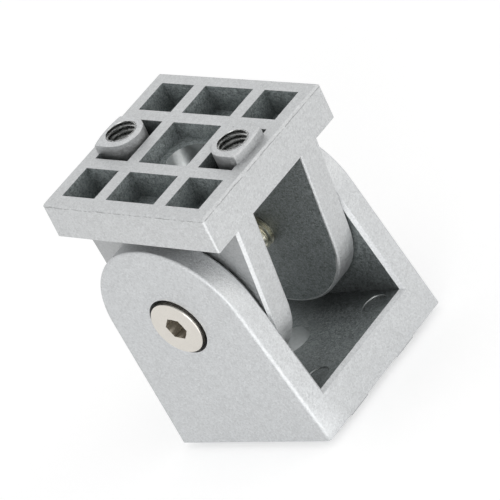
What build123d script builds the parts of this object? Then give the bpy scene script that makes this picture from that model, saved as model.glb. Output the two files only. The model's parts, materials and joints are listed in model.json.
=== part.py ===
from build123d import *
import os
from math import acos, atan2, cos, hypot, sin

# Pivot joint for 45 mm slotted profile: a base fork, a swivel fork between its ears, and one low-head
# M8 screw on each side, which passes through the base ear and threads into the swivel ear.
# Millimetres. The origin is the middle of the base's mounting face, +Z points from it towards the pivot,
# and the pivot axis runs along Y.

# ---------------------------------------------------------------- driving dimensions
profile = 45.0            # side of the slotted profile: the width of both forks along the pivot axis
base_depth = 46.2         # base fork across the pivot axis, at its foot
swivel_depth = 45.0       # swivel fork across the pivot axis, at its plate
base_plate = 9.0          # thickness of the base fork's plate
swivel_plate = 8.9        # thickness of the swivel fork's plate
pivot_height = 32.7       # base mounting face to the pivot axis
swivel_reach = 31.2       # pivot axis to the swivel mounting face
rest_tilt = 9.5           # how far the swivel fork leans from straight, in degrees

base_ear = 6.4            # thickness of a base ear
swivel_ear = 6.6          # thickness of a swivel ear
ear_gap = 0.4             # running gap between a base ear and the swivel ear beside it
base_crown = 20.1         # radius of a base ear about the pivot
swivel_crown = 20.2       # radius of a swivel ear about the pivot
base_edge = 0.8           # rounding of the base fork's edges, and chamfer of those beside the gap
swivel_edge = 0.6         # the same of the swivel fork's
rim_edge = 0.45           # chamfer round the swivel mounting face

pocket_wall = 3.4         # rim around the lightening pockets
pocket_rib = 3.2          # ribs between the pockets
pocket_middle = 13.4      # width of the middle pocket of each row
base_web = 2.6            # metal left over the base fork's pockets
swivel_web = 2.4          # metal left under the swivel fork's pockets
centre_pocket = 4.0       # depth of the swivel face's centre pocket
centre_hole = 10.2        # hole for a central fixing screw, in both plates

key_pitch = 31.3          # distance between the two tapped keys of the swivel face
key_width = 10.0          # width of a key, which enters a 10 mm profile slot
key_height = 2.4          # how far a key stands out of the swivel face
key_reach = 20.2          # radius about the face's centre at which the keys end
key_edge = 0.4            # chamfer of a key's rim
key_drill = 6.8           # tapping drill of a key's M8 thread

pad_height = 1.6          # how far the base's four locating pads stand out of its mounting face
pad_width = 6.4           # size of a pad along Y
pad_length = 4.0          # size of a pad along X
pad_pitch = 18.6          # distance between pads along Y
pad_inset = 2.0           # from the side of the foot to a pad

mark_radius = 2.9         # ejector marks in the base fork's floor
mark_depth = 0.25
mark_pitch_x = 34.4
mark_pitch_y = 23.4

thread = 8.0              # pivot screws, M8
thread_length = 12.0      # length under the head
thread_play = 0.05        # radial play of the screw's plain shank in the swivel ear
bearing_play = 0.1        # radial running play of the screw in the base ear
head_width = 13.0         # low cylindrical head
head_height = 5.0
head_proud = 0.8          # how far the head stands out of the base ear
head_play = 0.75          # radial play of the head in its counterbore
seat_play = 0.05          # running play under the head
head_chamfer = 0.4
socket_width = 5.0        # hexagon socket, across flats
socket_depth = 3.0
socket_turn = 12.0        # how the hexagon stands, in degrees
tip_chamfer = 0.9

# ---------------------------------------------------------------- places worked out from them
half_profile = profile / 2
base_ear_inner = half_profile - base_ear
swivel_ear_outer = base_ear_inner - ear_gap
swivel_ear_inner = swivel_ear_outer - swivel_ear
ear_drop = swivel_reach - swivel_plate
seat_depth = head_height - head_proud + seat_play
past_everything = 4 * profile
level = 0.01              # edges no further than this from a height lie at that height

pivot = Location((0, 0, pivot_height))
tilted = Location((0, 0, pivot_height), (0, rest_tilt, 0))
swivel_face = Plane(tilted).offset(swivel_reach)
swivel_underside = swivel_face.offset(-swivel_plate)
swivel_along = Axis(swivel_face.origin, swivel_face.x_dir)
swivel_out = Axis(swivel_face.origin, swivel_face.z_dir)

os.makedirs("parts", exist_ok=True)


def fork_outline(half_foot, reach, crown):
    """Side view of a fork: a straight foot, and two flanks that run tangent into a round crown.

    The foot lies on the sketch's X axis and the crown's centre is `reach` above it.
    """
    touch = atan2(-reach, half_foot) + acos(crown / hypot(half_foot, reach))
    touch_x = crown * cos(touch)
    touch_y = reach + crown * sin(touch)
    with BuildSketch() as outline:
        with BuildLine():
            Line((-half_foot, 0), (half_foot, 0))
            Line((half_foot, 0), (touch_x, touch_y))
            ThreePointArc((touch_x, touch_y), (0, reach + crown), (-touch_x, touch_y))
            Line((-touch_x, touch_y), (-half_foot, 0))
        make_face()
    return outline.sketch


def pocket_spans(half_side):
    """The three stretches that a row of pockets takes across a face."""
    outer = half_side - pocket_wall
    middle = pocket_middle / 2
    return [(-outer, -middle - pocket_rib), (-middle, middle), (middle + pocket_rib, outer)]


def ring_of_pockets(half_x, half_y):
    """The eight pockets around the middle one, as rectangles."""
    with BuildSketch() as pockets:
        for x_low, x_high in pocket_spans(half_x):
            for y_low, y_high in pocket_spans(half_y):
                if x_low + x_high or y_low + y_high:
                    with Locations(((x_low + x_high) / 2, (y_low + y_high) / 2)):
                        Rectangle(x_high - x_low, y_high - y_low)
    return pockets.sketch


def edges_at(part, axis, *heights):
    """The edges whose middles lie at these heights along an axis."""
    edges = part.edges()
    found = ShapeList()
    for height in heights:
        found += edges.filter_by_position(axis, height - level, height + level)
    return found


# ---------------------------------------------------------------- base fork
with BuildPart() as base_fork:
    with BuildSketch(Plane.XZ):
        add(fork_outline(base_depth / 2, pivot_height, base_crown))
    extrude(amount=half_profile, both=True)

    # the space between the ears
    with BuildSketch(Plane.XY.offset(base_plate)):
        Rectangle(past_everything, 2 * base_ear_inner)
    extrude(amount=past_everything, mode=Mode.SUBTRACT)

    # round edges outside, and chamfered ones beside the gap and along the floor
    foot = edges_at(base_fork, Axis.Z, 0)
    fillet(edges_at(base_fork, Axis.Y, -half_profile, half_profile) - foot, base_edge)
    floor = edges_at(base_fork, Axis.Z, base_plate)
    gap_sides = edges_at(base_fork, Axis.Y, -base_ear_inner, base_ear_inner)
    chamfer(gap_sides - floor + floor.filter_by(Axis.Y), base_edge)

    # lightening pockets in the mounting face, round a solid hub for the centre screw
    with BuildSketch(Plane.XY):
        add(ring_of_pockets(base_depth / 2, half_profile))
    extrude(amount=base_plate - base_web, mode=Mode.SUBTRACT)

    # four locating pads, which stand in the pockets and out of the mounting face
    with BuildSketch(Plane.XY.offset(-pad_height)):
        with GridLocations(base_depth - 2 * pad_inset - pad_length, pad_pitch, 2, 2):
            Rectangle(pad_length, pad_width)
    extrude(amount=pad_height + base_plate - base_web)

    with BuildSketch(Plane.XY):
        Circle(centre_hole / 2)
    extrude(amount=base_plate, mode=Mode.SUBTRACT)

    # ejector marks in the floor
    with BuildSketch(Plane.XY.offset(base_plate)):
        with GridLocations(mark_pitch_x, mark_pitch_y, 2, 2):
            Circle(mark_radius)
    extrude(amount=-mark_depth, mode=Mode.SUBTRACT)

    # each ear is counterbored for a screw head and bored for its shank to turn in
    for outwards in (Plane.XZ, -Plane.XZ):
        ear_face = Plane(pivot * outwards.location).offset(half_profile)
        with BuildSketch(ear_face):
            Circle(head_width / 2 + head_play)
        extrude(amount=-seat_depth, mode=Mode.SUBTRACT)
        with BuildSketch(ear_face):
            Circle(thread / 2 + bearing_play)
        extrude(amount=-base_ear, mode=Mode.SUBTRACT)
base_fork.part.label = "base_fork"
export_step(base_fork.part, "parts/base_fork.step")

# ---------------------------------------------------------------- swivel fork, leaning at the pivot
with BuildPart() as swivel_fork:
    # two ears, which hang from the plate's underside
    with BuildSketch(Plane(swivel_underside.origin, x_dir=swivel_face.x_dir, z_dir=(0, 1, 0))):
        add(fork_outline(swivel_depth / 2, ear_drop, swivel_crown))
    extrude(amount=swivel_ear_outer, both=True)
    with BuildSketch(swivel_underside):
        Rectangle(past_everything, 2 * swivel_ear_inner)
    extrude(amount=-past_everything, mode=Mode.SUBTRACT)
    roots = edges_at(swivel_fork, swivel_out, -swivel_plate)
    fillet(edges_at(swivel_fork, Axis.Y, -swivel_ear_inner, swivel_ear_inner) - roots, swivel_edge)
    roots = edges_at(swivel_fork, swivel_out, -swivel_plate)
    chamfer(edges_at(swivel_fork, Axis.Y, -swivel_ear_outer, swivel_ear_outer) - roots, swivel_edge)

    # the plate, with soft edges but for those that the ears run into
    with BuildSketch(swivel_underside):
        Rectangle(swivel_depth, profile)
    extrude(amount=swivel_plate)
    rim = edges_at(swivel_fork, swivel_out, 0)
    fillet(edges_at(swivel_fork, Axis.Y, -half_profile, half_profile) - rim, swivel_edge)
    chamfer(edges_at(swivel_fork, swivel_out, 0), rim_edge)

    # lightening pockets in the mounting face
    pocket_depth = swivel_plate - swivel_web
    with BuildSketch(swivel_face):
        add(ring_of_pockets(swivel_depth / 2, half_profile))
    extrude(amount=-pocket_depth, mode=Mode.SUBTRACT)
    with BuildSketch(swivel_face):
        Rectangle(pocket_middle, pocket_middle)
    extrude(amount=-centre_pocket, mode=Mode.SUBTRACT)

    # two keys, which stand in the outer pockets of the middle row and out of the mounting face
    with BuildSketch(swivel_face.offset(-pocket_depth)):
        for side in (-1, 1):
            with Locations((side * key_pitch / 2, 0)):
                Circle(key_width / 2)
            with Locations((side * (key_pitch / 2 + key_width / 2), 0)):
                Rectangle(key_width, key_width)
        Circle(key_reach, mode=Mode.INTERSECT)
    extrude(amount=pocket_depth + key_height)
    chamfer(edges_at(swivel_fork, swivel_out, key_height), key_edge)

    # holes through the plate: the keys' tapping holes and the centre hole
    with BuildSketch(swivel_face.offset(key_height)):
        with Locations((-key_pitch / 2, 0), (key_pitch / 2, 0)):
            Circle(key_drill / 2)
        Circle(centre_hole / 2)
    extrude(amount=-key_height - swivel_plate, mode=Mode.SUBTRACT)

    # the pivot screws' threads, plain and at their nominal size, across both ears
    with BuildSketch(Plane(pivot * Plane.XZ.location)):
        Circle(thread / 2 + thread_play)
    extrude(amount=swivel_ear_outer, both=True, mode=Mode.SUBTRACT)
swivel_fork.part.label = "swivel_fork"
export_step(swivel_fork.part, "parts/swivel_fork.step")


# ---------------------------------------------------------------- pivot screws
def pivot_screw(outwards):
    """Low-head cap screw of one side; `outwards` is that side's plane, which faces away from the joint."""
    seat = Plane(pivot * outwards.location).offset(half_profile + head_proud - head_height)
    with BuildPart() as screw:
        with BuildSketch(seat):
            Circle(head_width / 2)
        extrude(amount=head_height)
        chamfer(screw.edges().sort_by(Axis(seat.origin, seat.z_dir))[-1], head_chamfer)
        with BuildSketch(seat):
            Circle(thread / 2)
        extrude(amount=-thread_length)
        chamfer(screw.edges().sort_by(Axis(seat.origin, seat.z_dir))[0], tip_chamfer)
        with BuildSketch(seat.offset(head_height - socket_depth)):
            RegularPolygon(socket_width / 2, 6, major_radius=False, rotation=socket_turn)
        extrude(amount=socket_depth, mode=Mode.SUBTRACT)
    return screw.part


pivot_screw_front = pivot_screw(Plane.XZ)
pivot_screw_front.label = "pivot_screw_front"
export_step(pivot_screw_front, "parts/pivot_screw_front.step")

pivot_screw_rear = pivot_screw(-Plane.XZ)
pivot_screw_rear.label = "pivot_screw_rear"
export_step(pivot_screw_rear, "parts/pivot_screw_rear.step")
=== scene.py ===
"""Looks of a profile pivot joint: two satin die-cast forks and two plated pivot screws."""

import json
import logging
import math
from dataclasses import dataclass, field, replace
from enum import Enum
from functools import cached_property

import bmesh
import bpy
from mathutils import Matrix, Quaternion, Vector


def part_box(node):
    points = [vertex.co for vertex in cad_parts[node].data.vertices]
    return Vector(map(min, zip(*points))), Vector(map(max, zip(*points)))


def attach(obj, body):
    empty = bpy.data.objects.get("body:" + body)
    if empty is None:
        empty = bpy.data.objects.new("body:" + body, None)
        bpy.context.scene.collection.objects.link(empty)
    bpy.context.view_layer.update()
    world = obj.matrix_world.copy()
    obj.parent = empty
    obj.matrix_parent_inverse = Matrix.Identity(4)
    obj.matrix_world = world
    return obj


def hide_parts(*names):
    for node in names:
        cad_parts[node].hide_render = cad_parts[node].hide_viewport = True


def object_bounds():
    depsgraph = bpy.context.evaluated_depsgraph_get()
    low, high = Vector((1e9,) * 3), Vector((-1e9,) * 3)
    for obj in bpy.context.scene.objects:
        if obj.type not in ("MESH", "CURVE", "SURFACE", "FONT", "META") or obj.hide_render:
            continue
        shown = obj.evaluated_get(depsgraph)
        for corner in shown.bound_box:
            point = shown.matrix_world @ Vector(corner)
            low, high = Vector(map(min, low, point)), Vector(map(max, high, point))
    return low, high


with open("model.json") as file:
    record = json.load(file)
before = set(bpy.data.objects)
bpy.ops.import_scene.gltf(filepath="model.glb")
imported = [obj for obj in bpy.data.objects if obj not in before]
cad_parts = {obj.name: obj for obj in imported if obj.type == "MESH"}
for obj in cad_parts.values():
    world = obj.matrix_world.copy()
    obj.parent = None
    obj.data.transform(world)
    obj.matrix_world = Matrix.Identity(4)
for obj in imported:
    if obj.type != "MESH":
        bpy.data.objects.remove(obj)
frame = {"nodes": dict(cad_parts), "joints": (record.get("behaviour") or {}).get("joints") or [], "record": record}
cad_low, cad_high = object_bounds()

log = logging.getLogger("pivot_joint")

MM = 0.001                  # metres in a millimetre
CLOSE = 0.004 * MM          # points no further apart than this are one point
WELD = 0.001 * MM           # corners of a casting no further apart than this are joined
THREAD_WELD = 0.0005 * MM   # the same for a thread
FLAT = math.radians(0.5)    # faces that lean apart by less than this are one flat face
CREASE = math.radians(40)   # edges sharper than this stay sharp in the shading
HEXAGON_SIDE = math.tau / 6  # the turn from one side of a hexagon to the next
UPRIGHT = 0.2               # a wall is upright if its normal rises or falls by less than this
FAR = 1.0                   # further out than any piece, in metres
HEAD_PROUD = 0.8 * MM       # how far a screw head stands out of the base fork
NOISE = (0.3, 0.7)          # the range that a noise texture seldom leaves


# ------------------------------------------------------------------ places, read from the frame
class Side(Enum):
    """Which side of the joint a piece lies on, as the sign of Y."""

    FRONT = -1
    REAR = 1


class Slot(Enum):
    """The record's material slots."""

    DIE_CAST = "die_cast"
    PLATED_STEEL = "plated_steel"


MOUNTS = {mount["name"]: mount for mount in frame["record"]["mounts"]}
PIVOT = Vector(frame["joints"][0]["pos_m"])
HALF_FACE = (cad_high.y - cad_low.y) / 2 - HEAD_PROUD   # half the width of the swivel plate
SWIVEL_NORMAL = Vector(MOUNTS["swivel_bolt"]["axis"])
SWIVEL_TILT = math.atan2(SWIVEL_NORMAL.x, SWIVEL_NORMAL.z)
SWIVEL_ALONG = Vector((math.cos(SWIVEL_TILT), 0, -math.sin(SWIVEL_TILT)))


# ------------------------------------------------------------------ writing node trees
@dataclass
class NodeSheet:
    """A node tree that is being written."""

    tree: bpy.types.NodeTree

    def add(
        self, kind: str, inputs: dict[str | int, object] | None = None, **settings: object,
    ) -> bpy.types.Node:
        """Adds a node.

        Args:
            kind: The node's type name, without its ShaderNode prefix where it has one.
            inputs: Values or sockets for the node's inputs, by input name or number.
            settings: Attributes to set on the node, before its inputs.

        Returns:
            The new node.
        """
        name = kind if kind.startswith("Node") else "ShaderNode" + kind
        node = self.tree.nodes.new(name)
        for attribute, value in settings.items():
            setattr(node, attribute, value)
        for key, value in (inputs or {}).items():
            self.feed(node.inputs[key], value)
        return node

    def feed(self, socket: bpy.types.NodeSocket, value: object) -> None:
        """Links a socket to an input, or sets the input's own value.

        Args:
            socket: The input.
            value: An output socket, or a plain value.
        """
        if isinstance(value, bpy.types.NodeSocket):
            self.tree.links.new(value, socket)
        else:
            socket.default_value = value

    def maths(self, operation: str, *values: object, clamp: bool = False) -> bpy.types.NodeSocket:
        """Adds a Math node.

        Args:
            operation: The operation's name, such as MULTIPLY.
            values: Its inputs in order, as sockets or numbers.
            clamp: Whether the result stays between 0 and 1.

        Returns:
            The node's output.
        """
        node = self.add("Math", dict(enumerate(values)), operation=operation, use_clamp=clamp)
        return node.outputs[0]

    def vector(self, operation: str, *values: object) -> bpy.types.Node:
        """Adds a Vector Math node.

        Args:
            operation: The operation's name, such as DOT_PRODUCT.
            values: Its inputs in order, as sockets or values.

        Returns:
            The node, because some operations put out a value and others a vector.
        """
        return self.add("VectorMath", dict(enumerate(values)), operation=operation)

    def spread(
        self, value: object, low: float, high: float, to_low: float, to_high: float,
    ) -> bpy.types.NodeSocket:
        """Maps a value from one range to another and keeps it inside that.

        Args:
            value: The value's socket.
            low: Start of the range it comes from.
            high: End of the range it comes from.
            to_low: What the start becomes.
            to_high: What the end becomes.

        Returns:
            The mapped value's output.
        """
        node = self.add("MapRange", {
            "Value": value, "From Min": low, "From Max": high, "To Min": to_low, "To Max": to_high,
        })
        return node.outputs[0]

    def noise(
        self, place: object, scale: object, detail: float = 2.0, roughness: float = 0.5,
    ) -> bpy.types.NodeSocket:
        """Adds a noise texture.

        Args:
            place: Where it is read, as a socket.
            scale: How fine it is, as a socket or a number.
            detail: How many finer layers it has.
            roughness: How strongly the finer layers show.

        Returns:
            Its value's output.
        """
        node = self.add("TexNoise", {
            "Vector": place, "Scale": scale, "Detail": detail, "Roughness": roughness,
        })
        return node.outputs["Fac"]

    def paint(self, shader: bpy.types.Node, tone: tuple[float, ...], tint: object) -> None:
        """Colours a shader.

        Args:
            shader: The Principled BSDF.
            tone: Its colour.
            tint: What the colour is multiplied by, as a socket.
        """
        colour = self.vector("SCALE", tone)
        self.feed(colour.inputs["Scale"], tint)
        self.feed(shader.inputs["Base Color"], colour.outputs[0])


class Effects:
    """Shader node groups that several finishes share, each built once."""

    def start(
        self, name: str, inputs: dict[str, str], outputs: dict[str, str],
    ) -> tuple[NodeSheet, dict[str, bpy.types.NodeSocket]]:
        """Starts an empty group with its sockets.

        Args:
            name: The group's name.
            inputs: Socket types by input name.
            outputs: Socket types by output name.

        Returns:
            The sheet to write the group on, and the sockets of its inputs by name.
        """
        tree = bpy.data.node_groups.new(name, "ShaderNodeTree")
        for sockets, way in ((inputs, "INPUT"), (outputs, "OUTPUT")):
            for label, kind in sockets.items():
                tree.interface.new_socket(name=label, in_out=way, socket_type="NodeSocket" + kind)
        sheet = NodeSheet(tree)
        node = sheet.add("NodeGroupInput")
        return sheet, {label: node.outputs[label] for label in inputs}

    def place(
        self, sheet: NodeSheet, tree: bpy.types.NodeTree, inputs: dict[str, object],
    ) -> bpy.types.Node:
        """Puts a group into a material.

        Args:
            sheet: The material's sheet.
            tree: The group.
            inputs: Its inputs by name.

        Returns:
            The group node.
        """
        node = sheet.add("Group", node_tree=tree)
        for label, value in inputs.items():
            sheet.feed(node.inputs[label], value)
        return node

    @cached_property
    def cast_grain(self) -> bpy.types.NodeTree:
        """The fine grain of a blasted casting, over slow patches where the metal cooled unevenly.

        Returns:
            A group that puts out a tint near 1, a change of roughness, and a height.
        """
        sheet, given = self.start(
            "cast_grain",
            {"Vector": "Vector", "Grain Scale": "Float", "Patch Scale": "Float", "Depth": "Float"},
            {"Tint": "Float", "Roughness": "Float", "Height": "Float"},
        )
        fleck_scale, fleck_share, fleck_height = 0.8, 0.8, 0.35     # next to the grain's own
        patch_share, roughness_swing = 0.12, 0.06
        place, depth = given["Vector"], given["Depth"]
        grain = sheet.noise(place, given["Grain Scale"], detail=3.0, roughness=0.65)
        patches = sheet.noise(place, given["Patch Scale"])
        flecks = sheet.add("TexVoronoi", {
            "Vector": place, "Scale": sheet.maths("MULTIPLY", given["Grain Scale"], fleck_scale),
        }, feature="F1")
        fleck = sheet.add("SeparateColor", {0: flecks.outputs["Color"]}).outputs[0]
        fine = sheet.maths("MULTIPLY", sheet.spread(grain, *NOISE, -1.0, 1.0), depth)
        bright = sheet.spread(fleck, 0.0, 1.0, -fleck_share, fleck_share)
        bright = sheet.maths("MULTIPLY", bright, depth)
        slow = sheet.spread(patches, *NOISE, -patch_share, patch_share)
        slow = sheet.maths("MULTIPLY", slow, depth)
        change = sheet.maths("ADD", fine, sheet.maths("ADD", bright, slow))
        sheet.add("NodeGroupOutput", {
            "Tint": sheet.maths("ADD", 1.0, change),
            "Roughness": sheet.spread(fleck, 0.0, 1.0, -roughness_swing, roughness_swing),
            "Height": sheet.maths("ADD", grain, sheet.maths("MULTIPLY", fleck, fleck_height)),
        })
        return sheet.tree

    @cached_property
    def ao_painted_shade(self) -> bpy.types.NodeTree:
        """Painted shade from ambient occlusion: 1 on an open face, near 0 deep in corners and recesses, where
        shade falls.

        Returns:
            A group that puts out that share.
        """
        sheet, given = self.start(
            "ao_painted_shade", {"Reach": "Float", "Contrast": "Float"}, {"Unshaded": "Float"},
        )
        # ambient occlusion, turned into painted shade on the colour
        seen = sheet.add("AmbientOcclusion", {"Distance": given["Reach"]},
                         samples=16, only_local=True)
        share = sheet.maths("POWER", seen.outputs["AO"], given["Contrast"])
        sheet.add("NodeGroupOutput", {"Unshaded": share})
        return sheet.tree

    @cached_property
    def rim_seam(self) -> bpy.types.NodeTree:
        """The thin, broken, dark line where the halves of the mould met, just under a rim.

        Returns:
            A group that puts out a mask, 1 on the line.
        """
        sheet, given = self.start(
            "rim_seam",
            {"Vector": "Vector", "Centre": "Vector", "Normal": "Vector", "Along": "Vector",
             "Height": "Float", "Width": "Float", "Reach": "Float"},
            {"Mask": "Float"},
        )
        wander_scale, wander = 420.0, 0.1 * MM
        break_scale, breaks = 900.0, (0.36, 0.52)
        place = sheet.vector("SUBTRACT", given["Vector"], given["Centre"]).outputs[0]
        height = sheet.vector("DOT_PRODUCT", place, given["Normal"]).outputs["Value"]
        along = sheet.vector("DOT_PRODUCT", place, given["Along"]).outputs["Value"]
        along = sheet.maths("ABSOLUTE", along)
        across = sheet.maths("ABSOLUTE", sheet.add("SeparateXYZ", {0: place}).outputs["Y"])
        waves = sheet.noise(given["Vector"], wander_scale, detail=3.0)
        shifted = sheet.maths("ADD", height, sheet.spread(waves, *NOISE, -wander, wander))
        off = sheet.maths("ABSOLUTE", sheet.maths("SUBTRACT", shifted, given["Height"]))
        width = sheet.maths("DIVIDE", off, given["Width"])
        line = sheet.maths("SUBTRACT", 1.0, width, clamp=True)
        broken = sheet.spread(sheet.noise(given["Vector"], break_scale), *breaks, 0.0, 1.0)
        outside = sheet.maths("GREATER_THAN", sheet.maths("MAXIMUM", along, across), given["Reach"])
        mask = sheet.maths("MULTIPLY", sheet.maths("MULTIPLY", line, broken), outside)
        sheet.add("NodeGroupOutput", {"Mask": mask})
        return sheet.tree

    @cached_property
    def turned_lines(self) -> bpy.types.NodeTree:
        """The fine rings that turning leaves round an axis along Y.

        Returns:
            A group that puts out a tint near 1 and a height.
        """
        sheet, given = self.start(
            "turned_lines",
            {"Vector": "Vector", "Centre": "Vector", "Ring Scale": "Float", "Depth": "Float"},
            {"Tint": "Float", "Height": "Float"},
        )
        cloud_scale = 500.0
        place = sheet.vector("SUBTRACT", given["Vector"], given["Centre"]).outputs[0]
        flat = sheet.vector("MULTIPLY", place, (1.0, 0.0, 1.0)).outputs[0]
        radius = sheet.vector("LENGTH", flat).outputs["Value"]
        rings = sheet.add("TexNoise", {
            "W": sheet.maths("MULTIPLY", radius, given["Ring Scale"]), "Scale": 1.0, "Detail": 3.0,
        }, noise_dimensions="1D").outputs["Fac"]
        cloud = sheet.noise(given["Vector"], cloud_scale, detail=4.0)
        both = sheet.maths("ADD", sheet.spread(rings, *NOISE, -0.5, 0.5),
                           sheet.spread(cloud, *NOISE, -0.5, 0.5))
        sheet.add("NodeGroupOutput", {
            "Tint": sheet.maths("ADD", 1.0, sheet.maths("MULTIPLY", both, given["Depth"])),
            "Height": rings,
        })
        return sheet.tree


# ------------------------------------------------------------------ finishes
def new_material(
    name: str,
) -> tuple[bpy.types.Material, NodeSheet, bpy.types.Node, bpy.types.NodeSocket]:
    """Starts a material with a Principled BSDF on Object coordinates.

    Args:
        name: The material's name.

    Returns:
        The material, its sheet, the shader node, and the Object coordinates.
    """
    material = bpy.data.materials.new(name)
    material.use_nodes = True
    material.node_tree.nodes.clear()
    sheet = NodeSheet(material.node_tree)
    shader = sheet.add("BsdfPrincipled")
    sheet.add("OutputMaterial", {"Surface": shader.outputs[0]})
    return material, sheet, shader, sheet.add("TexCoord").outputs["Object"]


@dataclass(frozen=True)
class SeamLine:
    """Where a mould's parting line runs round the swivel plate."""

    below_rim: float = 0.55 * MM
    width: float = 0.14 * MM
    inset: float = 0.7 * MM
    darkness: float = 0.55


@dataclass(frozen=True)
class CastingFinish:
    """A surface of the die castings: blasted to a fine grain, cut bright by a tool, or darkened by painted shade
    in recesses and gaps.
    """

    name: str = "satin_die_cast"
    tone: tuple[float, float, float] = (0.575, 0.585, 0.59)
    metallic: float = 1.0
    roughness: float = 0.48
    grain_scale: float = 3000.0
    patch_scale: float = 220.0
    grain_depth: float = 0.1
    bump: float = 1.0
    bump_height: float = 0.08 * MM
    # the next three set painted shade: a factor on the tone, and ambient occlusion that darkens corners and
    # recesses
    shade: float = 1.0
    shade_reach: float = 5 * MM
    shade_contrast: float = 0.35
    seam: SeamLine | None = None

    def material(self, effects: Effects) -> bpy.types.Material:
        """Makes the material.

        Args:
            effects: The shared node groups.

        Returns:
            The material.
        """
        material, sheet, shader, place = new_material(self.name)
        grain = effects.place(sheet, effects.cast_grain, {
            "Vector": place, "Grain Scale": self.grain_scale, "Patch Scale": self.patch_scale,
            "Depth": self.grain_depth,
        })
        ao_painted_shade = effects.place(sheet, effects.ao_painted_shade, {
            "Reach": self.shade_reach, "Contrast": self.shade_contrast,
        })
        # the grain's tint times the painted shade from ambient occlusion
        tint = sheet.maths("MULTIPLY", grain.outputs["Tint"], ao_painted_shade.outputs["Unshaded"])
        if self.seam:
            tint = self.with_seam(effects, sheet, place, tint)
        sheet.paint(shader, tuple(self.shade * part for part in self.tone), tint)
        shader.inputs["Metallic"].default_value = self.metallic
        roughness = sheet.maths("ADD", grain.outputs["Roughness"], self.roughness)
        sheet.feed(shader.inputs["Roughness"], roughness)
        if self.bump:
            bump = sheet.add("Bump", {"Strength": self.bump, "Distance": self.bump_height,
                                      "Height": grain.outputs["Height"]})
            sheet.feed(shader.inputs["Normal"], bump.outputs[0])
        return material

    def with_seam(
        self, effects: Effects, sheet: NodeSheet, place: bpy.types.NodeSocket,
        tint: bpy.types.NodeSocket,
    ) -> bpy.types.NodeSocket:
        """Darkens a tint along the seam.

        Args:
            effects: The shared node groups.
            sheet: The material's sheet.
            place: The Object coordinates.
            tint: The tint without the seam.

        Returns:
            The tint with it.
        """
        face = Vector(MOUNTS["swivel_face"]["pos_m"]) - PIVOT
        line = effects.place(sheet, effects.rim_seam, {
            "Vector": place, "Centre": PIVOT, "Normal": SWIVEL_NORMAL, "Along": SWIVEL_ALONG,
            "Height": face.dot(SWIVEL_NORMAL) - self.seam.below_rim,
            "Width": self.seam.width, "Reach": HALF_FACE - self.seam.inset,
        })
        shade = sheet.maths("MULTIPLY", line.outputs["Mask"], self.seam.darkness)
        return sheet.maths("MULTIPLY", tint, sheet.maths("SUBTRACT", 1.0, shade))


@dataclass(frozen=True)
class PlatedFinish:
    """Warm nickel plating over turned steel."""

    name: str = "nickel_plate"
    tone: tuple[float, float, float] = (0.67, 0.64, 0.59)
    roughness: float = 0.25
    ring_scale: float = 9000.0
    depth: float = 0.04
    bump: float = 0.12
    bump_height: float = 0.02 * MM
    # painted shade from ambient occlusion in the screw's corners
    shade_reach: float = 2 * MM
    shade_contrast: float = 0.5

    def material(self, effects: Effects) -> bpy.types.Material:
        """Makes the material.

        Args:
            effects: The shared node groups.

        Returns:
            The material.
        """
        material, sheet, shader, place = new_material(self.name)
        rings = effects.place(sheet, effects.turned_lines, {
            "Vector": place, "Centre": PIVOT, "Ring Scale": self.ring_scale, "Depth": self.depth,
        })
        ao_painted_shade = effects.place(sheet, effects.ao_painted_shade, {
            "Reach": self.shade_reach, "Contrast": self.shade_contrast,
        })
        # the rings' tint times the painted shade from ambient occlusion
        tint = sheet.maths("MULTIPLY", rings.outputs["Tint"], ao_painted_shade.outputs["Unshaded"])
        sheet.paint(shader, self.tone, tint)
        shader.inputs["Metallic"].default_value = 1.0
        shader.inputs["Roughness"].default_value = self.roughness
        bump = sheet.add("Bump", {"Strength": self.bump, "Distance": self.bump_height,
                                  "Height": rings.outputs["Height"]})
        sheet.feed(shader.inputs["Normal"], bump.outputs[0])
        return material


# ------------------------------------------------------------------ mesh work
def radius_of(vertex: bmesh.types.BMVert) -> float:
    """Distance of a vertex from the Z axis of the frame it is in."""
    return math.hypot(vertex.co.x, vertex.co.y)


def set_radius(vertex: bmesh.types.BMVert, radius: float) -> None:
    """Moves a vertex straight out from, or in to, the Z axis.

    Args:
        vertex: The vertex.
        radius: Its new distance from the axis.
    """
    share = radius / radius_of(vertex)
    vertex.co.x *= share
    vertex.co.y *= share


def corners(edges: list[bmesh.types.BMEdge]) -> set[bmesh.types.BMVert]:
    """The vertices at the ends of some edges."""
    return {v for e in edges for v in e.verts}


def rim_at(
    mesh: bmesh.types.BMesh, height: float, most: float = math.inf,
) -> list[bmesh.types.BMEdge]:
    """Finds an open edge loop.

    Args:
        mesh: The mesh.
        height: The loop's height along Z.
        most: The loop lies within this radius of the Z axis.

    Returns:
        The loop's edges.
    """
    return [
        edge for edge in mesh.edges
        if edge.is_boundary
        and all(abs(v.co.z - height) < CLOSE and radius_of(v) < most for v in edge.verts)
    ]


def take_in(mesh: bmesh.types.BMesh, other: bmesh.types.BMesh, material_number: int) -> None:
    """Moves another mesh's faces into a mesh, under one material.

    Args:
        mesh: The mesh that gets them.
        other: The other mesh, which is freed.
        material_number: The material's place in the list.
    """
    for piece in other.faces:
        piece.material_index = material_number
    spare = bpy.data.meshes.new("spare")
    other.to_mesh(spare)
    other.free()
    mesh.from_mesh(spare)
    bpy.data.meshes.remove(spare)


def casting_copy(node: str) -> bmesh.types.BMesh:
    """Copies a CAD node as one closed mesh with whole flat faces.

    Args:
        node: The CAD node's name.

    Returns:
        The copy, in the row frame.
    """
    mesh = bmesh.new()
    mesh.from_mesh(frame["nodes"][node].data)
    bmesh.ops.remove_doubles(mesh, verts=mesh.verts, dist=WELD)
    bmesh.ops.dissolve_limit(mesh, angle_limit=FLAT, verts=mesh.verts, edges=mesh.edges)
    for piece in mesh.faces:
        piece.material_index = 0
    return mesh


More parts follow.
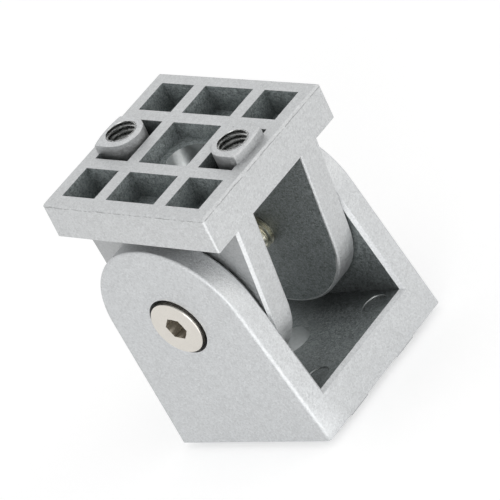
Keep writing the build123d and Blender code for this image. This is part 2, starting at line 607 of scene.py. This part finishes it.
def make_object(
    mesh: bmesh.types.BMesh, name: str, materials: list[bpy.types.Material],
) -> bpy.types.Object:
    """Turns a finished mesh into an object with soft shading, and frees it.

    Args:
        mesh: The mesh, in the row frame.
        name: The object's name.
        materials: Its materials, in the order of the faces' material numbers.

    Returns:
        The object.
    """
    bmesh.ops.recalc_face_normals(mesh, faces=mesh.faces)
    for piece in mesh.faces:
        piece.smooth = True
    for edge in mesh.edges:
        edge.smooth = edge.calc_face_angle(0.0) < CREASE
    data = bpy.data.meshes.new(name)
    mesh.to_mesh(data)
    mesh.free()
    for material in materials:
        data.materials.append(material)
    thing = bpy.data.objects.new(name, data)
    bpy.context.scene.collection.objects.link(thing)
    normals = thing.modifiers.new("even_shading", "WEIGHTED_NORMAL")
    normals.keep_sharp = True
    return thing


@dataclass(frozen=True)
class Thread:
    """A metric thread along Z."""

    major: float = 4.0 * MM
    minor: float = 3.4 * MM
    pitch: float = 1.25 * MM
    flank_angle: float = math.radians(30)
    root_share: float = 0.125
    steps: int = 48
    spare_turns: int = 3

    def wall(self, bottom: float, top: float) -> bmesh.types.BMesh:
        """Spins one ridge into a threaded wall and trims both its ends flat.

        Args:
            bottom: Height of the lower end.
            top: Height of the upper end.

        Returns:
            The wall, open at both ends.
        """
        flank = (self.major - self.minor) * math.tan(self.flank_angle)
        root = self.root_share * self.pitch
        crest = self.pitch - root - 2 * flank
        mesh = bmesh.new()
        ridge = [
            (self.minor, 0), (self.minor, crest), (self.major, crest + flank),
            (self.major, crest + flank + root), (self.minor, self.pitch),
        ]
        drop = self.spare_turns / 2 * self.pitch
        points = [mesh.verts.new((radius, 0, height + bottom - drop)) for radius, height in ridge]
        edges = [mesh.edges.new(pair) for pair in zip(points, points[1:])]
        bmesh.ops.subdivide_edges(mesh, edges=edges, cuts=1)
        turns = math.ceil((top - bottom) / self.pitch) + self.spare_turns
        bmesh.ops.spin(
            mesh, geom=mesh.verts[:] + mesh.edges[:], cent=(0, 0, 0), axis=(0, 0, 1),
            dvec=(0, 0, self.pitch / self.steps), angle=math.tau * turns, steps=self.steps * turns,
        )
        bmesh.ops.remove_doubles(mesh, verts=mesh.verts, dist=THREAD_WELD)
        for height, way in ((top, 1), (bottom, -1)):
            bmesh.ops.bisect_plane(
                mesh, geom=mesh.verts[:] + mesh.edges[:] + mesh.faces[:], dist=THREAD_WELD,
                plane_co=(0, 0, height), plane_no=(0, 0, way), clear_outer=True,
            )
        return mesh


# ------------------------------------------------------------------ castings
class Finish(Enum):
    """A fork's finishes, in the order of its material slots."""

    BLASTED = 0
    CUT = 1
    DRILLED = 2
    # GAP, POCKET and EAR take darkened copies of the casting: painted shade
    GAP = 3
    POCKET = 4
    EAR = 5


@dataclass(frozen=True)
class Rounding:
    """How much the edges of one sharpness are rounded."""

    least_angle: float
    most_angle: float
    size: float
    segments: int = 2
    profile: float = 0.5

    def fits(self, edge: bmesh.types.BMEdge) -> bool:
        """Whether an edge is as sharp as this rounding is for."""
        return self.least_angle < math.degrees(edge.calc_face_angle(0.0)) <= self.most_angle


@dataclass
class Fork:
    """A die-cast fork: its CAD shape, softened as casting and blasting leave it."""

    node: str
    body: str
    roundings: tuple[Rounding, ...] = (Rounding(35, 55, 0.3 * MM), Rounding(60, 180, 0.2 * MM))

    def cut_by_tool(self, edge: bmesh.types.BMEdge) -> bool:
        """Whether an edge stays crisp, because a drill or a tap cut it."""
        return False

    def soften(self, mesh: bmesh.types.BMesh) -> None:
        """Rounds the casting's chamfers and crisp edges.

        Args:
            mesh: The casting's mesh.
        """
        for rounding in self.roundings:
            edges = [e for e in mesh.edges if rounding.fits(e) and not self.cut_by_tool(e)]
            bmesh.ops.bevel(
                mesh, geom=edges, affect="EDGES", offset=rounding.size, offset_type="OFFSET",
                segments=rounding.segments, profile=rounding.profile, material=-1,
                clamp_overlap=True,
            )

    def finish_faces(
        self, mesh: bmesh.types.BMesh, finish: Finish, low: Vector, high: Vector,
    ) -> None:
        """Gives a finish to the faces that lie inside a box.

        Args:
            mesh: The mesh.
            finish: The finish.
            low: The box's lowest corner.
            high: The box's highest corner.
        """
        low, high = low - Vector((CLOSE,) * 3), high + Vector((CLOSE,) * 3)
        for piece in mesh.faces:
            if all(low[i] < v.co[i] < high[i] for v in piece.verts for i in range(3)):
                piece.material_index = finish.value

    def dressed(
        self, mesh: bmesh.types.BMesh, materials: list[bpy.types.Material],
    ) -> bpy.types.Object:
        """Makes the casting's object, which stands for its CAD node.

        Args:
            mesh: The finished mesh, in the row frame.
            materials: Its materials, the casting's own first.

        Returns:
            The object.
        """
        thing = make_object(mesh, self.node + "_casting", materials)
        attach(thing, self.body)
        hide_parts(self.node)
        return thing


@dataclass
class BaseFork(Fork):
    """The fork that is bolted down."""

    node: str = "base_fork"
    body: str = "base"
    ear: float = 6.4 * MM
    floor: float = 9.0 * MM
    floor_margin: float = 0.5 * MM
    hole_margin: float = 0.2 * MM
    mark_radius: float = 2.9 * MM
    mark_margin: float = 0.3 * MM
    mark_x: float = 17.2 * MM
    mark_y: float = 11.7 * MM
    mark_steepness: float = 0.9

    def build(self, materials: list[bpy.types.Material]) -> bpy.types.Object:
        """Builds the base fork.

        Args:
            materials: The castings' materials, in the order of Finish.

        Returns:
            Its object.
        """
        mesh = casting_copy(self.node)
        low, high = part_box(self.node)
        inner = high.y - self.ear
        self.soften(mesh)
        # the gap's floor and inner ear faces take the trough finish: painted shade
        self.finish_faces(mesh, Finish.GAP, Vector((low.x, -inner, self.floor - self.floor_margin)),
                          Vector((high.x, inner, high.z)))
        # the bolt hole's wall and the ejector marks' rims take the drilled finish; in the trough the rims' lighter
        # tone is a painted glint
        for piece in mesh.faces:
            in_gap = piece.material_index == Finish.GAP.value
            if self.is_drilled(piece) or (in_gap and self.rings_a_mark(piece)):
                piece.material_index = Finish.DRILLED.value
        return self.dressed(mesh, materials)

    def is_drilled(self, piece: bmesh.types.BMFace) -> bool:
        """Whether a face belongs to the wall of the bolt's hole."""
        hole = MOUNTS["base_bolt"]["dims"]["r_mm"] * MM
        return (abs(piece.normal.z) < UPRIGHT
                and all(abs(radius_of(v) - hole) < self.hole_margin for v in piece.verts))

    def rings_a_mark(self, piece: bmesh.types.BMFace) -> bool:
        """Whether a face is on the rim of an ejector mark, which a pin has rubbed smoother; its lighter tone
        against the trough's painted shade is a painted glint.
        """
        away = [math.hypot(abs(v.co.x) - self.mark_x, abs(v.co.y) - self.mark_y)
                for v in piece.verts]
        return (abs(piece.normal.z) < self.mark_steepness
                and all(abs(far - self.mark_radius) < self.mark_margin for far in away))


@dataclass
class SwivelFork(Fork):
    """The fork that turns, with its ribbed mounting face and two tapped keys."""

    node: str = "swivel_fork"
    body: str = "swivel"
    reach: float = 31.2 * MM
    plate: float = 8.9 * MM
    ear_inner: float = 9.1 * MM
    ear_outer: float = 15.7 * MM
    pocket_wall: float = 3.4 * MM
    pocket_margin: float = 0.5 * MM
    rib_margin: float = 0.2 * MM
    key_margin: float = 0.1 * MM
    holes: list[tuple[Vector, float]] = field(default_factory=list)
    thread: Thread = Thread(minor=3.33 * MM)
    lead: float = 3.37 * MM
    collar: float = 3.39 * MM

    def build(self, materials: list[bpy.types.Material]) -> bpy.types.Object:
        """Builds the swivel fork.

        Args:
            materials: The castings' materials, in the order of Finish.

        Returns:
            Its object.
        """
        mesh = casting_copy(self.node)
        upright = Matrix.Rotation(-SWIVEL_TILT, 4, "Y") @ Matrix.Translation(-PIVOT)
        keys = [MOUNTS["key_thread_high"], MOUNTS["key_thread_low"]]
        bmesh.ops.transform(mesh, matrix=upright, verts=mesh.verts)
        self.holes = [(upright @ Vector(key["pos_m"]), key["dims"]["r_mm"] * MM) for key in keys]
        self.soften(mesh)
        self.finish_regions(mesh)
        bolt = MOUNTS["swivel_bolt"]
        centre, radius = upright @ Vector(bolt["pos_m"]), bolt["dims"]["r_mm"] * MM
        for piece in self.hole_faces(mesh, centre, radius):
            piece.material_index = Finish.DRILLED.value
        for key, (mouth, drill) in zip(keys, self.holes):
            self.tap(mesh, mouth, drill, key["dims"]["length_mm"] * MM)
        bmesh.ops.transform(mesh, matrix=upright.inverted(), verts=mesh.verts)
        return self.dressed(mesh, materials)

    def finish_regions(self, mesh: bmesh.types.BMesh) -> None:
        """Gives the pockets, the inside of the gap and the ears' outer faces their darker finishes, which paint
        the shade that falls there.

        Args:
            mesh: The upright mesh.
        """
        inside, under = HALF_FACE - self.pocket_wall, self.reach - self.plate
        self.finish_faces(mesh, Finish.POCKET,
                          Vector((-inside, -inside, under + self.pocket_margin)),
                          Vector((inside, inside, self.reach)))
        self.finish_faces(mesh, Finish.GAP, Vector((-FAR, -self.ear_inner, -FAR)),
                          Vector((FAR, self.ear_inner, under)))
        # the ears' outer faces, between the plate and the base ears, take the ear finish: painted shade
        for side in Side:
            outer = side.value * self.ear_outer
            self.finish_faces(mesh, Finish.EAR, Vector((-FAR, outer, -FAR)),
                              Vector((FAR, outer, under)))
        for piece in mesh.faces:
            if piece.material_index == Finish.POCKET.value and self.is_open(piece):
                piece.material_index = Finish.BLASTED.value

    def is_open(self, piece: bmesh.types.BMFace) -> bool:
        """Whether a face inside the rim belongs to the ribs' tops or a key, and not to a pocket."""
        heights = [v.co.z for v in piece.verts]
        return (min(heights) > self.reach - self.rib_margin
                or max(heights) > self.reach + self.key_margin)

    def cut_by_tool(self, edge: bmesh.types.BMEdge) -> bool:
        """Whether an edge stays crisp, because a tap cut it."""
        return any(all(self.on_wall(v, mouth, drill) for v in edge.verts)
                   for mouth, drill in self.holes)

    def on_wall(self, vertex: bmesh.types.BMVert, centre: Vector, radius: float) -> bool:
        """Whether a vertex lies on the wall of an upright hole."""
        away = math.hypot(vertex.co.x - centre.x, vertex.co.y - centre.y)
        return abs(away - radius) < CLOSE

    def hole_faces(
        self, mesh: bmesh.types.BMesh, centre: Vector, radius: float,
    ) -> list[bmesh.types.BMFace]:
        """The faces of the wall of an upright hole.

        Args:
            mesh: The upright mesh.
            centre: A point on the hole's axis.
            radius: The hole's radius.

        Returns:
            The faces.
        """
        return [f for f in mesh.faces if all(self.on_wall(v, centre, radius) for v in f.verts)]

    def tap(self, mesh: bmesh.types.BMesh, mouth: Vector, drill: float, depth: float) -> None:
        """Swaps the plain wall of a key's hole for a threaded one with a lead-in at both ends.

        Args:
            mesh: The upright mesh, which gets the thread.
            mouth: Middle of the hole's mouth.
            drill: The plain hole's radius.
            depth: The hole's depth.
        """
        bmesh.ops.delete(mesh, geom=self.hole_faces(mesh, mouth, drill), context="FACES")
        bmesh.ops.translate(mesh, verts=mesh.verts, vec=(-mouth.x, -mouth.y, 0))
        for vertex in corners([e for e in mesh.edges if e.is_boundary]):
            if abs(radius_of(vertex) - drill) < CLOSE:
                set_radius(vertex, self.collar)
        top, bottom = mouth.z, mouth.z - depth
        wall = self.thread.wall(bottom, top)
        for vertex in wall.verts:
            least = self.lead - min(top - vertex.co.z, vertex.co.z - bottom)
            if radius_of(vertex) < least:
                set_radius(vertex, least)
        take_in(mesh, wall, Finish.CUT.value)
        for height in (top, bottom):
            bmesh.ops.bridge_loops(mesh, edges=rim_at(mesh, height, 2 * self.collar))
        bmesh.ops.translate(mesh, verts=mesh.verts, vec=(mouth.x, mouth.y, 0))


# ------------------------------------------------------------------ screws
class Plating(Enum):
    """A screw's finishes, in the order of its material slots."""

    HEAD = 0
    THREAD = 1
    SOCKET = 2


@dataclass
class PivotScrew:
    """A low-head cap screw, built upright with its head up and then laid along the pivot."""

    side: Side
    body: str = "swivel"
    steps: int = 96
    head_height: float = 5.0 * MM
    head_chamfer: float = 0.12 * MM
    socket_flat: float = 2.46 * MM
    socket_mouth: float = 2.54 * MM
    socket_margin: float = 0.3 * MM
    socket_lead: float = 0.1 * MM
    socket_depth: float = 3.0 * MM
    socket_floor: float = 2.3 * MM
    drill_point: float = 0.8 * MM
    socket_turn: float = math.radians(-14)
    neck: float = 1.2 * MM
    run_out: float = 0.25
    tip_chamfer: float = 0.9 * MM
    thread: Thread = Thread(minor=3.35 * MM)

    @property
    def node(self) -> str:
        """The screw's CAD node."""
        return "pivot_screw_" + self.side.name.lower()

    def build(self, materials: list[bpy.types.Material]) -> bpy.types.Object:
        """Builds the screw.

        Args:
            materials: Its materials, in the order of Plating.

        Returns:
            Its object.
        """
        low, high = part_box(self.node)
        tip, top = sorted(abs(y) for y in (low.y, high.y))
        mesh = self.head((high.x - low.x) / 2, top)
        self.socket(mesh, top)
        # the socket's faces take the socket finish, whose dark tone is painted shade
        for piece in mesh.faces:
            if self.in_socket(piece, top):
                piece.material_index = Plating.SOCKET.value
        self.shank(mesh, tip, top - self.head_height - self.neck)
        turn = Matrix.Rotation(self.socket_turn, 3, "Z")
        bmesh.ops.rotate(mesh, verts=mesh.verts, cent=(0, 0, 0), matrix=turn)
        lay_down = Matrix.Rotation(math.radians(-90 * self.side.value), 4, "X")
        bmesh.ops.transform(mesh, matrix=Matrix.Translation(PIVOT) @ lay_down, verts=mesh.verts)
        thing = make_object(mesh, self.node + "_plated", materials)
        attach(thing, self.body)
        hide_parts(self.node)
        return thing

    def in_socket(self, piece: bmesh.types.BMFace, top: float) -> bool:
        """Whether a face of the head, whose top is at a height, belongs to the socket."""
        widest = self.socket_mouth + self.socket_margin
        return (min(v.co.z for v in piece.verts) < top - CLOSE
                and all(radius_of(v) < widest for v in piece.verts))

    def head(self, radius: float, top: float) -> bmesh.types.BMesh:
        """Turns the head and the neck under it.

        Args:
            radius: The head's radius.
            top: Height of its top.

        Returns:
            The mesh, open at the socket's mouth and at the end of the neck.
        """
        seat = top - self.head_height
        outline = [
            (self.socket_mouth, top),
            (radius - self.head_chamfer, top), (radius, top - self.head_chamfer),
            (radius, seat + self.head_chamfer), (radius - self.head_chamfer, seat),
            (self.thread.major, seat), (self.thread.major, seat - self.neck),
        ]
        mesh = bmesh.new()
        points = [mesh.verts.new((r, 0, z)) for r, z in outline]
        edges = [mesh.edges.new(pair) for pair in zip(points, points[1:])]
        bmesh.ops.spin(
            mesh, geom=points + edges, cent=(0, 0, 0), axis=(0, 0, 1), dvec=(0, 0, 0),
            angle=math.tau, steps=self.steps, use_merge=True,
        )
        return mesh

    def hexagon(self, vertex: bmesh.types.BMVert) -> float:
        """How far the socket's wall is from the axis, in the direction of a vertex."""
        turn = math.atan2(vertex.co.y, vertex.co.x) % HEXAGON_SIDE - HEXAGON_SIDE / 2
        return self.socket_flat / math.cos(turn)

    def socket(self, mesh: bmesh.types.BMesh, top: float) -> None:
        """Cuts the hexagon socket, with a round lead-in at its mouth and a drill point below.

        Args:
            mesh: The head, which is open at the socket's mouth.
            top: Height of the head's top.
        """
        loop = rim_at(mesh, top)
        for vertex in corners(loop):
            set_radius(vertex, max(self.hexagon(vertex), self.socket_mouth))
        for depth, radius in (
            (self.socket_lead, None), (self.socket_depth, None),
            (self.socket_depth, self.socket_floor),
        ):
            loop = self.deepen(mesh, loop, top - depth)
            for vertex in corners(loop):
                set_radius(vertex, radius or self.hexagon(vertex))
        lowest = top - self.socket_depth - self.drill_point
        loop = self.deepen(mesh, loop, lowest)
        bmesh.ops.pointmerge(mesh, verts=list(corners(loop)), merge_co=Vector((0, 0, lowest)))

    def deepen(
        self, mesh: bmesh.types.BMesh, loop: list[bmesh.types.BMEdge], height: float,
    ) -> list[bmesh.types.BMEdge]:
        """Extrudes an open loop and sets the new loop's height.

        Args:
            mesh: The mesh.
            loop: The open loop.
            height: The new loop's height.

        Returns:
            The new loop's edges.
        """
        made = bmesh.ops.extrude_edge_only(mesh, edges=loop)["geom"]
        for vertex in made:
            if isinstance(vertex, bmesh.types.BMVert):
                vertex.co.z = height
        return [e for e in made if isinstance(e, bmesh.types.BMEdge) and e.is_boundary]

    def shank(self, mesh: bmesh.types.BMesh, tip: float, end: float) -> None:
        """Adds the threaded shank and closes its tip.

        Args:
            mesh: The head with its neck, which is open at the end of the neck.
            tip: Height of the shank's tip.
            end: Height at which the neck ends.
        """
        start = end - self.thread.pitch * self.run_out
        wall = self.thread.wall(tip, start)
        for vertex in wall.verts:
            most = self.thread.major - self.tip_chamfer + (vertex.co.z - tip)
            if radius_of(vertex) > most:
                set_radius(vertex, most)
        bmesh.ops.holes_fill(wall, edges=rim_at(wall, tip), sides=0)
        take_in(mesh, wall, Plating.THREAD.value)
        bmesh.ops.bridge_loops(mesh, edges=rim_at(mesh, start) + rim_at(mesh, end))


# ------------------------------------------------------------------ studio
@dataclass(frozen=True)
class Lamp:
    """A soft square lamp that points at the joint, or lies on the floor and shines up past it."""

    name: str
    azimuth: float
    elevation: float
    distance: float
    size: float
    power: float
    colour: tuple[float, float, float] = (1.0, 1.0, 1.0)
    on_floor: bool = False


@dataclass
class Studio:
    """A pale floor, a white surround, soft lamps and the camera."""

    azimuth: float = 53.05
    elevation: float = 24.61
    roll: float = -32.83
    distance: float = 757.7 * MM
    lens: float = 256.0
    sensor: float = 36.0
    nearest: float = 10 * MM
    furthest: float = 20.0
    aim: Vector = field(default_factory=lambda: Vector((3.28, 1.78, 33.11)) * MM)
    surround: float = 1.0
    ambient: float = 0.7
    floor_tone: float = 0.82
    floor_patches: tuple[float, float] = (0.99, 1.0)
    floor_patch_scale: float = 3.0
    floor_roughness: float = 0.9
    floor_glow: float = 0.41
    floor_size: float = 6.0
    floor_sides: int = 96
    lamps: tuple[Lamp, ...] = (
        Lamp("front_softbox", 37, 14, 1.0, 0.5, 1.9),
        Lamp("side_softbox", 124, 3, 1.2, 1.0, 2.6, (1.0, 0.97, 0.93)),
        Lamp("front_pad", 48, 0, 0.156, 0.18, 0.09, on_floor=True),
    )

    def away(self, azimuth: float, elevation: float) -> Vector:
        """The way from the joint.

        Args:
            azimuth: The direction across, in degrees, 0 being in front of the joint.
            elevation: The direction upwards, in degrees.

        Returns:
            A vector one metre long.
        """
        turn, rise = math.radians(azimuth), math.radians(elevation)
        across = math.cos(rise)
        return Vector((math.sin(turn) * across, -math.cos(turn) * across, math.sin(rise)))

    def camera(self) -> None:
        """Sets up the camera."""
        data = bpy.data.cameras.new("camera")
        data.lens = self.lens
        data.sensor_width = self.sensor
        data.clip_start = self.nearest
        data.clip_end = self.furthest
        eye = bpy.data.objects.new("camera", data)
        out = self.away(self.azimuth, self.elevation)
        eye.location = self.aim + out * self.distance
        eye.rotation_mode = "QUATERNION"
        level = (-out).to_track_quat("-Z", "Y")
        eye.rotation_quaternion = level @ Quaternion((0, 0, 1), math.radians(self.roll))
        bpy.context.scene.collection.objects.link(eye)
        bpy.context.scene.camera = eye

    def seen(self, sheet: NodeSheet) -> bpy.types.NodeSocket:
        """A factor that is 1 for what the camera sees, also in metal or through glass.

        Args:
            sheet: The sheet to write on.

        Returns:
            The factor's output.
        """
        path = sheet.add("LightPath").outputs
        either = sheet.maths("MAXIMUM", path["Is Camera Ray"], path["Is Glossy Ray"])
        return sheet.maths("MAXIMUM", either, path["Is Transmission Ray"])

    def world(self) -> None:
        """Sets up the white surround."""
        world = bpy.data.worlds.new("white_surround")
        world.use_nodes = True
        world.node_tree.nodes.clear()
        sheet = NodeSheet(world.node_tree)
        white = (1.0, 1.0, 1.0, 1.0)
        soft = sheet.add("Background", {"Color": white, "Strength": self.ambient})
        bright = sheet.add("Background", {"Color": white, "Strength": self.surround})
        mixed = sheet.add("MixShader", {
            0: self.seen(sheet), 1: soft.outputs[0], 2: bright.outputs[0],
        })
        sheet.add("OutputWorld", {"Surface": mixed.outputs[0]})
        bpy.context.scene.world = world

    def floor(self) -> None:
        """Lays the pale floor under the joint's lowest point."""
        mesh = bmesh.new()
        bmesh.ops.create_circle(
            mesh, cap_ends=True, segments=self.floor_sides, radius=self.floor_size / 2,
        )
        bmesh.ops.translate(mesh, verts=mesh.verts, vec=(0, 0, cad_low.z))
        data = bpy.data.meshes.new("floor")
        mesh.to_mesh(data)
        mesh.free()
        slab = bpy.data.objects.new("floor", data)
        bpy.context.scene.collection.objects.link(slab)
        material, sheet, shader, place = new_material("pale_floor")
        cloud = sheet.noise(place, self.floor_patch_scale)
        patches = sheet.spread(cloud, *NOISE, *self.floor_patches)
        sheet.paint(shader, (self.floor_tone,) * 3, patches)
        shader.inputs["Roughness"].default_value = self.floor_roughness
        shader.inputs["Specular IOR Level"].default_value = 0.0
        shader.inputs["Emission Color"].default_value = (1.0, 1.0, 1.0, 1.0)
        glow = sheet.maths("MULTIPLY", self.seen(sheet), self.floor_glow)
        sheet.feed(shader.inputs["Emission Strength"], glow)
        data.materials.append(material)

    def light(self) -> None:
        """Hangs the lamps."""
        for lamp in self.lamps:
            data = bpy.data.lights.new(lamp.name, "AREA")
            data.size = lamp.size
            data.energy = lamp.power
            data.color = lamp.colour
            thing = bpy.data.objects.new(lamp.name, data)
            out = self.away(lamp.azimuth, lamp.elevation)
            thing.rotation_mode = "QUATERNION"
            if lamp.on_floor:
                thing.location = out * lamp.distance + Vector((0, 0, cad_low.z + MM))
                thing.rotation_quaternion = Vector((0, 0, 1)).to_track_quat("-Z", "Y")
                thing.visible_camera = False
            else:
                thing.location = self.aim + out * lamp.distance
                thing.rotation_quaternion = (-out).to_track_quat("-Z", "Y")
            bpy.context.scene.collection.objects.link(thing)

    def build(self) -> None:
        """Sets up everything round the joint."""
        bpy.context.scene.view_settings.view_transform = "Standard"
        self.world()
        self.floor()
        self.light()
        self.camera()


# ------------------------------------------------------------------ everything
RECESS_PAINTED_SHADE_TONE = (0.54, 0.588, 0.59)        # painted shade: the cooler tone of the pockets and the gap


def casting_materials(
    effects: Effects,
) -> tuple[list[bpy.types.Material], list[bpy.types.Material]]:
    """Makes the castings' finishes.

    Args:
        effects: The shared node groups.

    Returns:
        The base fork's materials and the swivel fork's, both in the order of Finish.
    """
    # cut metal: strong ambient occlusion paints shade deep in the thread's grooves
    bright = CastingFinish(name="cut_metal", tone=(0.62, 0.63, 0.62), roughness=0.27,
                           grain_scale=1500.0, patch_scale=300.0, grain_depth=0.05, bump=0.0,
                           shade_reach=0.5 * MM, shade_contrast=1.4)
    rubbed = replace(bright, name="drilled_wall", tone=(0.6, 0.62, 0.62), roughness=0.38,
                     shade_contrast=0.2)
    # pocket, trough, gap and ear finishes are darkened tones: painted shade where these faces lie in shade
    shaded_pocket = CastingFinish(name="pocket_painted_shade", tone=RECESS_PAINTED_SHADE_TONE, shade=0.66, roughness=0.7,
                         grain_depth=0.3)
    # the trough's wide, strong ambient occlusion paints shade that deepens into the base fork's gap
    trough = replace(shaded_pocket, name="trough_painted_shade", shade=0.58, roughness=0.6, grain_depth=0.28,
                     shade_reach=14 * MM, shade_contrast=1.3)
    gap = replace(shaded_pocket, name="gap_painted_shade", shade=0.46, roughness=0.6, shade_contrast=0.2)
    # the swivel ears' outer faces, between plate and base ears, are darkened: painted shade
    ear = CastingFinish(name="ear_painted_shade", shade=0.76)
    # the base fork's tone is a little lighter than the swivel's: painted light for the brighter light on the base
    blasted = CastingFinish(tone=(0.586, 0.598, 0.606))
    seamed = CastingFinish(name="satin_die_cast_with_seam", seam=SeamLine())
    cut, drilled, pocket = (finish.material(effects) for finish in (bright, rubbed, shaded_pocket))
    base = [blasted.material(effects), cut, drilled, trough.material(effects), pocket]
    swivel = [seamed.material(effects), cut, drilled, gap.material(effects), pocket,
              ear.material(effects)]
    return base, swivel


def screw_materials(effects: Effects) -> list[bpy.types.Material]:
    """Makes the screws' finishes.

    Args:
        effects: The shared node groups.

    Returns:
        Their materials, in the order of Plating.
    """
    # the thread's tone is warmer and much brighter than the head's, with weaker painted shade: painted light on
    # the tip in the dark gap; the socket's dark, brown tone is painted shade inside the hex
    thread = PlatedFinish(name="thread_plate_painted_light", tone=(0.95, 0.91, 0.76), shade_contrast=0.15)
    socket = PlatedFinish(name="socket_painted_shade", tone=(0.42, 0.385, 0.325), roughness=0.55)
    return [finish.material(effects) for finish in (PlatedFinish(), thread, socket)]


def main() -> None:
    """Builds the joint and its studio, and reports each piece."""
    logging.basicConfig(level=logging.INFO, format="%(message)s")
    effects = Effects()
    base_materials, swivel_materials = casting_materials(effects)
    plated = screw_materials(effects)
    pieces = [BaseFork().build(base_materials), SwivelFork().build(swivel_materials)]
    pieces += [PivotScrew(side).build(plated) for side in Side]
    for piece in pieces:
        log.info("%s: %d faces", piece.name, len(piece.data.polygons))
    Studio().build()


if __name__ == "__main__":
    main()
